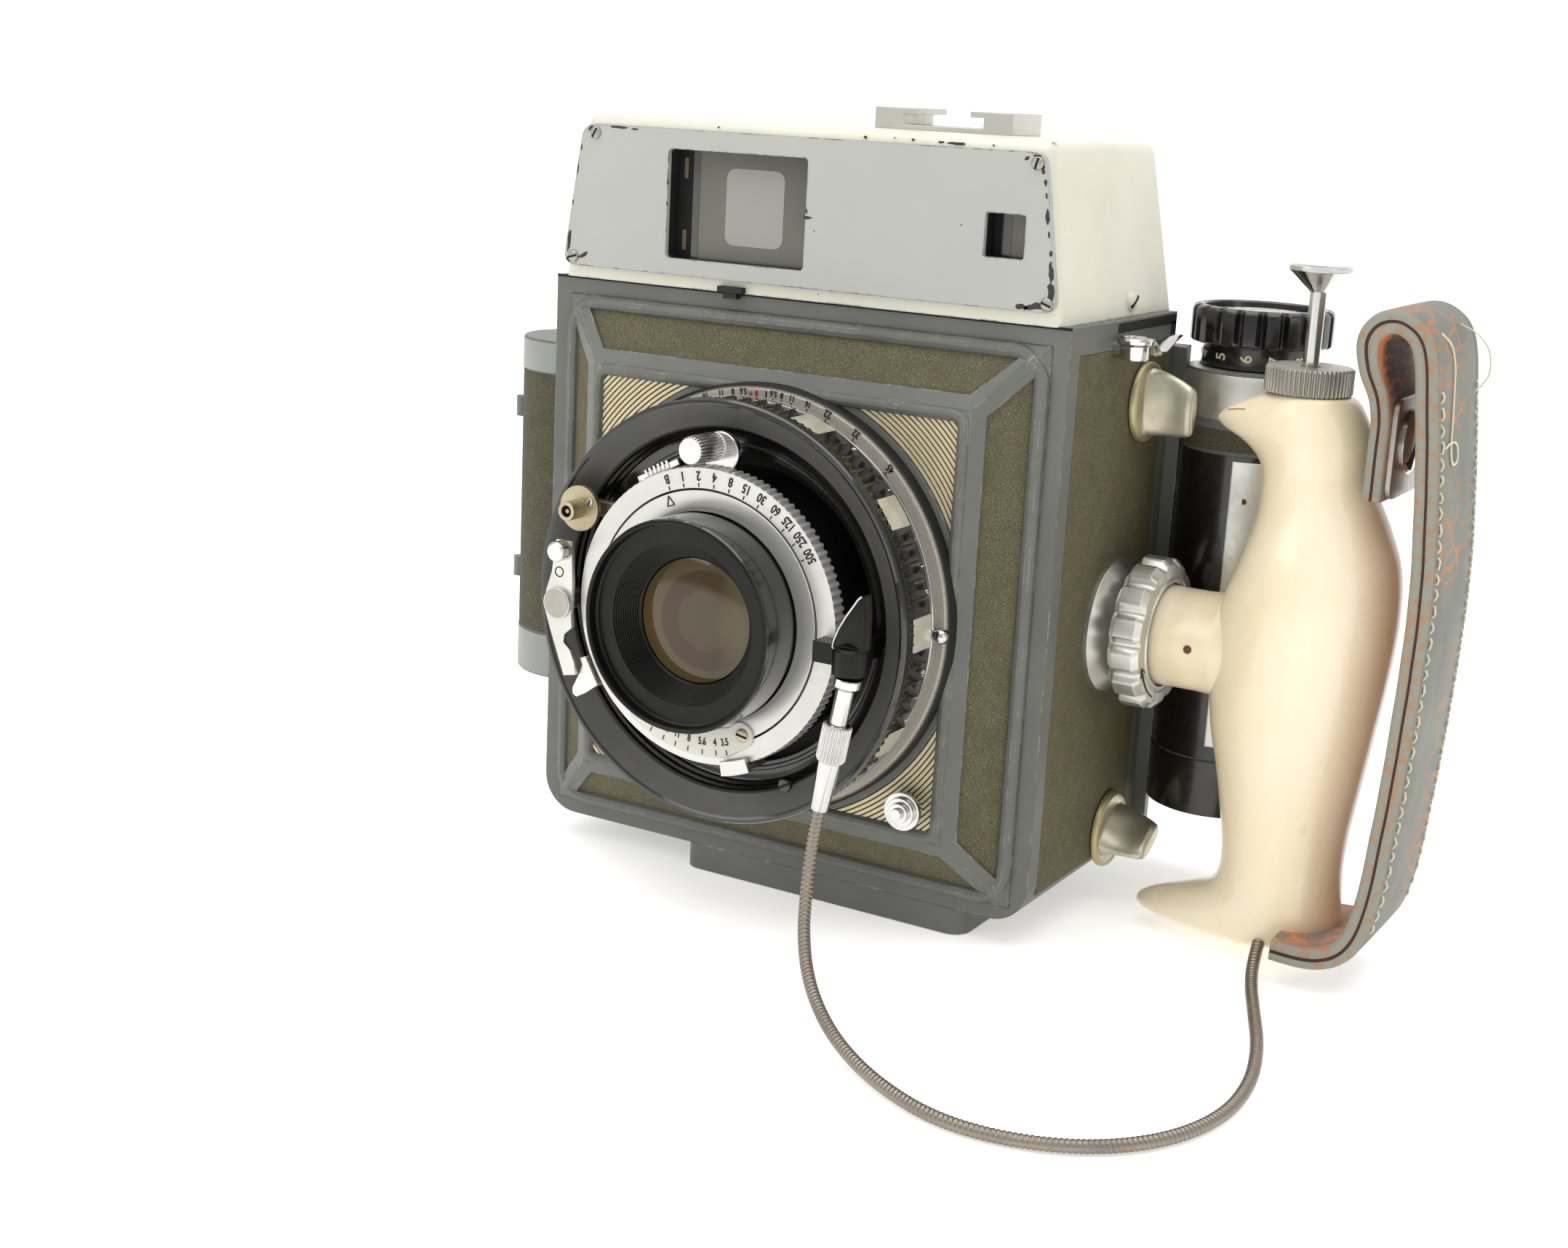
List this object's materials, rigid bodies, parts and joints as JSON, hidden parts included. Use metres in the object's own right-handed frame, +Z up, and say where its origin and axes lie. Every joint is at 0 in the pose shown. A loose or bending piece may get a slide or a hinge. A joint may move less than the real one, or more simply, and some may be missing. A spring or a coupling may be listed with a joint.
{
  "type": "press camera",
  "caption": "Press camera with rangefinder housing, leaf-shutter lens, roll film holder on an extending back, side grip with strap and cable release.",
  "frame": {"origin": "mouth of the tripod socket, in the plane of the foot", "axes": "+X towards the hand grip, -Y the way the lens looks, +Z up"},
  "size_m": [0.2395, 0.1538, 0.1631],
  "materials": {
    "amber_glass": "coated",
    "bellows_cloth": "matt black",
    "black_metal": "semi-gloss black",
    "black_plastic": "moulded",
    "blade_steel": "blackened",
    "brass_part": "dull plated brass",
    "chrome_plate": "polished",
    "cream_paint": "satin paint, chipped at the edges",
    "grey_paint": "satin hammered paint",
    "grille_gold": "champagne with dark grooves",
    "holder_grey": "satin paint",
    "ivory_plastic": "polished, slightly worn",
    "ivory_silver": "satin",
    "mirror_glass": "half-silvered",
    "olive_leatherette": "fine-grained leatherette",
    "plate_grey": "satin paint, chipped at the edges",
    "satin_silver": "satin",
    "smoky_glass": "coated",
    "spiral_steel": "spiral wound",
    "steel_screw": "turned",
    "strap_leather": "grey, cracked to orange",
    "white_lever": "white"
  },
  "bodies": {
    "root": {"accessory_shoe": "satin_silver", "base_foot": "grey_paint", "beam_splitter": "mirror_glass", "bellows": "bellows_cloth", "body_shell": "grey_paint", "cable_sheath": "spiral_steel", "corner_grilles": "grille_gold", "depth_scale_ring": "satin_silver", "finder_eyepiece": "black_metal", "finder_front_plate": "plate_grey", "finder_housing": "cream_paint", "finder_windows": "smoky_glass", "front_frame": "grey_paint", "front_leather": "olive_leatherette", "grip_collar": "steel_screw", "grip_socket": "chrome_plate", "hand_grip": "ivory_plastic", "hand_strap": "strap_leather", "housing_screws": "steel_screw", "rear_plate": "grey_paint", "side_leather": "olive_leatherette", "strap_lugs": "chrome_plate", "strap_plates": "steel_screw", "strap_screws": "chrome_plate", "tripod_bush": "brass_part"},
    "lens_unit": {"lens_cone": "black_metal", "lens_tube": "black_metal", "shutter_housing": "black_metal", "shutter_face": "satin_silver", "front_barrel": "black_metal", "front_element": "amber_glass", "rear_element": "amber_glass", "iris_blades": "blade_steel", "shutter_blades": "blade_steel", "sync_socket": "brass_part", "cable_socket": "black_metal", "cable_ferrule": "chrome_plate"},
    "focus_ring": {"focus_ring": "black_metal"},
    "speed_ring": {"speed_ring": "satin_silver"},
    "aperture_lever": {"aperture_lever": "satin_silver"},
    "cocking_lever": {"cocking_lever": "satin_silver"},
    "release_lever": {"release_lever": "white_lever"},
    "sync_lever": {"sync_lever": "satin_silver"},
    "lens_release_button": {"lens_release_button": "chrome_plate"},
    "rangefinder_mirror": {"rangefinder_mirror": "mirror_glass"},
    "grip_lock_ring": {"grip_lock_ring": "satin_silver"},
    "plunger": {"plunger": "chrome_plate"},
    "lock_lever_left_low": {"lock_lever_left_low": "ivory_silver"},
    "lock_lever_left_high": {"lock_lever_left_high": "ivory_silver"},
    "lock_lever_right_low": {"lock_lever_right_low": "ivory_silver"},
    "lock_lever_right_high": {"lock_lever_right_high": "ivory_silver"},
    "back_unit": {"back_frame": "grey_paint", "extension_rods": "chrome_plate", "film_holder": "holder_grey"},
    "film_door": {"film_door": "holder_grey", "pressure_plate": "black_metal"},
    "winding_knob": {"winding_knob": "black_plastic", "take_up_spool": "black_plastic"},
    "supply_spool": {"supply_spool": "black_plastic"},
    "dark_slide": {"dark_slide": "satin_silver"}
  },
  "joints": [
    {"name": "focus_turn", "type": "hinge", "parent": "root", "child": "focus_ring", "pos_m": [0, -0.0446, 0.065], "axis": [0, 1, 0], "range_deg": [0, 220]},
    {"name": "focus_travel", "type": "slide", "parent": "root", "child": "lens_unit", "axis": [0, -1, 0], "range_m": [0, 0.0091], "deforming": ["cable_sheath"]},
    {"name": "mirror_turn", "type": "hinge", "parent": "root", "child": "rangefinder_mirror", "pos_m": [0.044, -0.008, 0.141], "axis": [0, 0, 1], "range_deg": [0, 4]},
    {"name": "speed_turn", "type": "hinge", "parent": "lens_unit", "child": "speed_ring", "pos_m": [0, -0.055, 0.065], "axis": [0, 1, 0], "range_deg": [-105, 0]},
    {"name": "aperture_turn", "type": "hinge", "parent": "lens_unit", "child": "aperture_lever", "pos_m": [0, -0.055, 0.065], "axis": [0, 1, 0], "range_deg": [0, 50]},
    {"name": "cock_turn", "type": "hinge", "parent": "lens_unit", "child": "cocking_lever", "pos_m": [0, -0.055, 0.065], "axis": [0, 1, 0], "range_deg": [0, 50]},
    {"name": "release_turn", "type": "hinge", "parent": "lens_unit", "child": "release_lever", "pos_m": [0, -0.055, 0.065], "axis": [0, 1, 0], "range_deg": [-10, 0]},
    {"name": "sync_turn", "type": "hinge", "parent": "lens_unit", "child": "sync_lever", "pos_m": [-0.0335, -0.058, 0.0629], "axis": [0, 1, 0], "range_deg": [0, 12]},
    {"name": "lens_release_press", "type": "slide", "parent": "root", "child": "lens_release_button", "axis": [0, 1, 0], "range_m": [0, 0.002], "stiffness_N_per_m": 400},
    {"name": "lock_ring_turn", "type": "hinge", "parent": "root", "child": "grip_lock_ring", "pos_m": [0.068, 0.0042, 0.0623], "axis": [1, 0, 0], "range_deg": [-60, 0]},
    {"name": "plunger_press", "type": "slide", "parent": "root", "child": "plunger", "axis": [0, 0, -1], "range_m": [0, 0.008], "stiffness_N_per_m": 150},
    {"name": "back_extend", "type": "slide", "parent": "root", "child": "back_unit", "axis": [0, 1, 0], "range_m": [0, 0.036], "deforming": ["bellows"]},
    {"name": "door_turn", "type": "hinge", "parent": "back_unit", "child": "film_door", "pos_m": [-0.1106, 0.0286, 0.062], "axis": [0, 0, 1], "range_deg": [0, 110]},
    {"name": "wind_turn", "type": "hinge", "parent": "back_unit", "child": "winding_knob", "pos_m": [0.0757, 0.0339, 0.1], "axis": [0, 0, 1], "continuous": true},
    {"name": "supply_turn", "type": "hinge", "parent": "back_unit", "child": "supply_spool", "pos_m": [-0.0931, 0.0323, 0.06225], "axis": [0, 0, 1], "continuous": true},
    {"name": "slide_pull", "type": "slide", "parent": "back_unit", "child": "dark_slide", "axis": [0, 0, 1], "range_m": [0, 0.07]},
    {"name": "lock_lever_left_low_turn", "type": "hinge", "parent": "root", "child": "lock_lever_left_low", "pos_m": [-0.0615, 0.012, 0.016], "axis": [1, 0, 0], "range_deg": [0, 60]},
    {"name": "lock_lever_left_high_turn", "type": "hinge", "parent": "root", "child": "lock_lever_left_high", "pos_m": [-0.0615, 0.012, 0.1077], "axis": [1, 0, 0], "range_deg": [-60, 0]},
    {"name": "lock_lever_right_low_turn", "type": "hinge", "parent": "root", "child": "lock_lever_right_low", "pos_m": [0.0615, 0.012, 0.016], "axis": [1, 0, 0], "range_deg": [0, 60]},
    {"name": "lock_lever_right_high_turn", "type": "hinge", "parent": "root", "child": "lock_lever_right_high", "pos_m": [0.0615, 0.012, 0.1077], "axis": [1, 0, 0], "range_deg": [-60, 0]}
  ],
  "couplings": [
    {"joint": "focus_travel", "follows": "focus_turn", "m_per_rad": 0.00234},
    {"joint": "mirror_turn", "follows": "focus_turn", "ratio": 0.018},
    {"joint": "release_turn", "follows": "plunger_press", "rad_per_m": -21.5}
  ]
}
